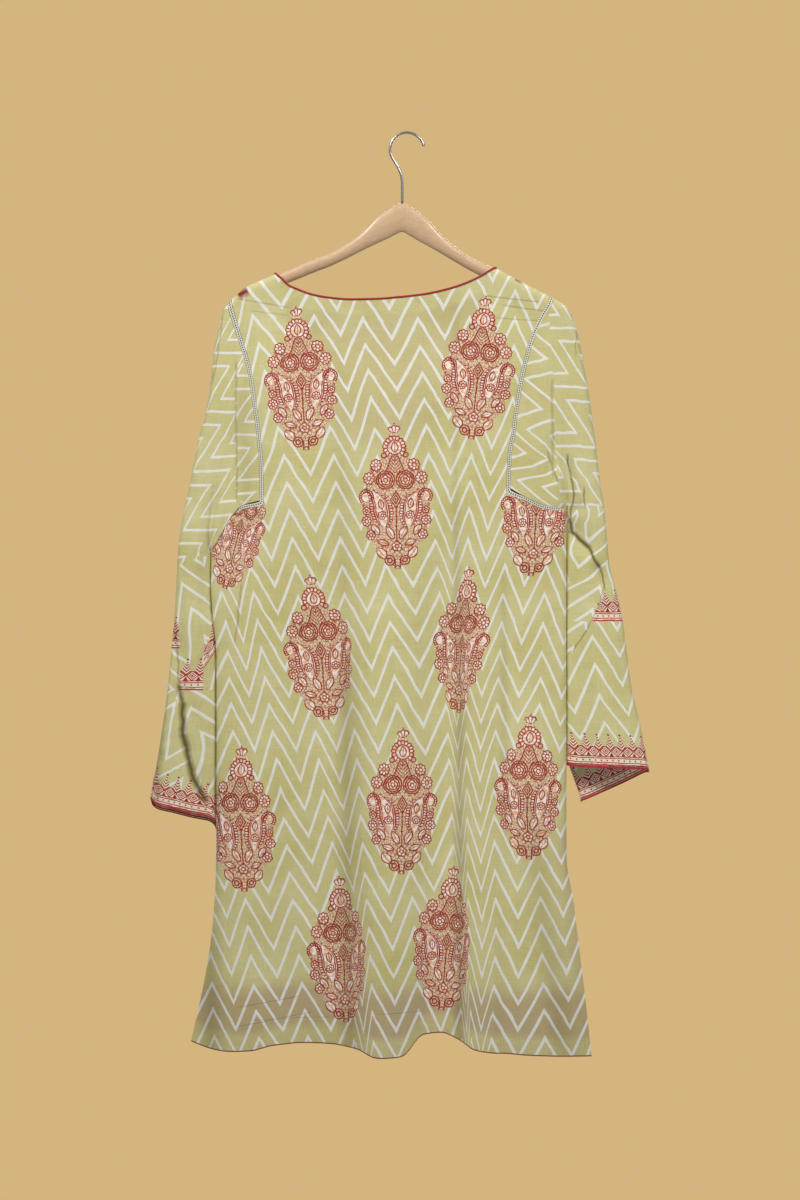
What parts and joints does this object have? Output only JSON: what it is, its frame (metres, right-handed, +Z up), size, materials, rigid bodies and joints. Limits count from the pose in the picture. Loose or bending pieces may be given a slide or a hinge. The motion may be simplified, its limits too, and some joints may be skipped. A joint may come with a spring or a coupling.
{
  "type": "kurta tunic on a wooden hanger",
  "caption": "Long-sleeved cotton kurta tunic with a wide neck, stepped armholes, side slits and a longer back, hung flat on a curved wooden hanger with a round steel hook.",
  "frame": {"origin": "inside of the crown of the hanger's hook, where it rests on a rail", "axes": "+Z up, -Y out of the garment's back, +X to the right as seen from behind the garment"},
  "size_m": [0.6254, 0.0807, 1.1553],
  "materials": {
    "cloth": "thin plain-woven cotton voile, block printed",
    "lace": "cotton ladder lace",
    "red_trim": "plain-woven cotton",
    "hem_edging": "thread edging",
    "wood": "satin lacquer",
    "steel": "plated wire"
  },
  "bodies": {
    "root": {"back": "cloth", "front": "cloth", "hem_edging_back": "hem_edging", "hem_edging_front": "hem_edging", "sleeve_upper_left": "cloth", "sleeve_upper_right": "cloth", "sleeve_lower_left": "cloth", "sleeve_lower_right": "cloth", "cuff_binding_left": "red_trim", "cuff_binding_right": "red_trim", "lace_left": "lace", "lace_right": "lace", "neck_piping": "red_trim", "hanger_wood": "wood", "hanger_hook": "steel"}
  },
  "joints": []
}
